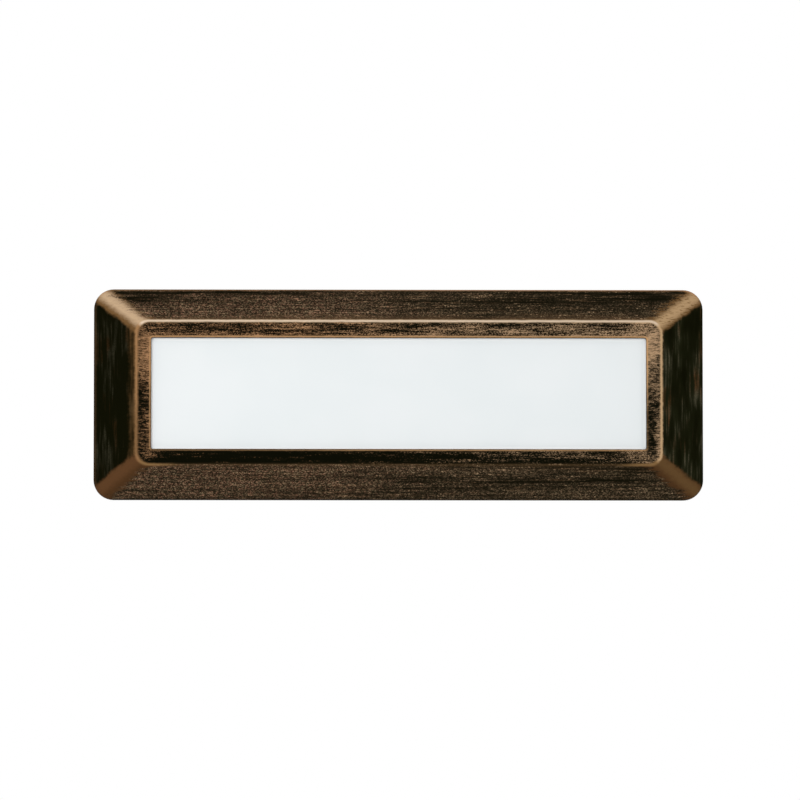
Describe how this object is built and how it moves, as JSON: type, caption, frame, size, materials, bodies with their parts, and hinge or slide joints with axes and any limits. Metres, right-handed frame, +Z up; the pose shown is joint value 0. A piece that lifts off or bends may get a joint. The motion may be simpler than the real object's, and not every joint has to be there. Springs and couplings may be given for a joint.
{
  "type": "recessed outdoor wall light",
  "caption": "Rectangular recessed wall light: bevelled antique bronze frame round a flat opal window, on a light unit that sprung clips hold in a box built into the wall.",
  "frame": {"origin": "centre of the frame's back, in the plane of the wall's face", "axes": "+X along the light to the right, +Y into the wall, +Z up; the window faces -Y"},
  "size_m": [0.26, 0.1128, 0.09],
  "materials": {
    "frame_patina": "antique bronze patina, dry-brushed gold over black",
    "opal_pane": "flat opal, satin",
    "seal_foam": "closed-cell foam",
    "seal_rubber": "matt black rubber",
    "tray_enamel": "white enamel",
    "zinc_steel": "zinc-plated steel",
    "thermal_pad": "grey-blue silicone sheet",
    "led_board": "white solder mask",
    "led_chip": "phosphor yellow",
    "driver_plastic": "light grey moulding",
    "circuit_board": "green solder mask",
    "transformer": "taped winding on a ferrite core",
    "capacitor": "sleeved can",
    "terminal_plastic": "pale grey moulding",
    "terminal_brass": "machined brass",
    "tinned_lug": "tinned copper",
    "rivet_metal": "aluminium",
    "clip_steel": "stainless spring strip",
    "spring_wire": "stainless spring wire",
    "grip_rubber": "moulded rubber",
    "box_polymer": "fine-textured dark grey moulding",
    "gland_nylon": "black nylon",
    "red_lead": "insulated wire",
    "black_lead": "insulated wire",
    "brown_lead": "insulated wire",
    "blue_lead": "insulated wire",
    "earth_lead": "green and yellow insulated wire"
  },
  "bodies": {
    "recess_box": {"wall_box": "box_polymer", "entry_washers": "seal_rubber", "entry_locknuts": "gland_nylon", "gland_body": "gland_nylon", "gland_seal": "seal_rubber", "gland_cap": "gland_nylon", "blanking_plug": "gland_nylon"},
    "light_unit": {"front_frame": "frame_patina", "wall_seal": "seal_foam", "diffuser": "opal_pane", "diffuser_seal": "seal_rubber", "reflector_tray": "tray_enamel", "tray_screws": "zinc_steel", "thermal_pad": "thermal_pad", "led_board": "led_board", "led_chips": "led_chip", "led_board_screws": "zinc_steel", "tray_grommet": "seal_rubber", "led_lead_positive": "red_lead", "led_lead_negative": "black_lead", "driver_case": "driver_plastic", "driver_lid": "driver_plastic", "driver_circuit": "circuit_board", "driver_transformer": "transformer", "driver_capacitors": "capacitor", "driver_screws": "zinc_steel", "terminal_block": "terminal_plastic", "terminal_tubes": "terminal_brass", "terminal_clamp_screws": "zinc_steel", "terminal_fixing_screws": "zinc_steel", "live_lead": "brown_lead", "neutral_lead": "blue_lead", "earth_lead": "earth_lead", "earth_washer": "zinc_steel", "earth_lug": "tinned_lug", "earth_screw": "terminal_brass", "clip_rivets": "rivet_metal", "right_clip_bracket": "clip_steel", "left_clip_bracket": "clip_steel", "right_clip_pin": "clip_steel", "left_clip_pin": "clip_steel"},
    "right_clip": {"right_clip_arm": "clip_steel", "right_clip_grip": "grip_rubber", "right_clip_spring": "spring_wire"},
    "left_clip": {"left_clip_arm": "clip_steel", "left_clip_grip": "grip_rubber", "left_clip_spring": "spring_wire"}
  },
  "joints": [
    {"name": "unit_slide", "type": "slide", "parent": "recess_box", "child": "light_unit", "axis": [0, -1, 0], "range_m": [0, 0.08]},
    {"name": "right_clip_swing", "type": "hinge", "parent": "light_unit", "child": "right_clip", "pos_m": [0.1135, 0.00195, 0], "axis": [0, 0, 1], "range_deg": [0, 24], "stiffness_Nm_per_rad": 0.05, "springref_deg": -28.65, "deforming": ["right_clip_spring"]},
    {"name": "left_clip_swing", "type": "hinge", "parent": "light_unit", "child": "left_clip", "pos_m": [-0.1135, 0.00195, 0], "axis": [0, 0, -1], "range_deg": [0, 24], "stiffness_Nm_per_rad": 0.05, "springref_deg": -28.65, "deforming": ["left_clip_spring"]}
  ]
}
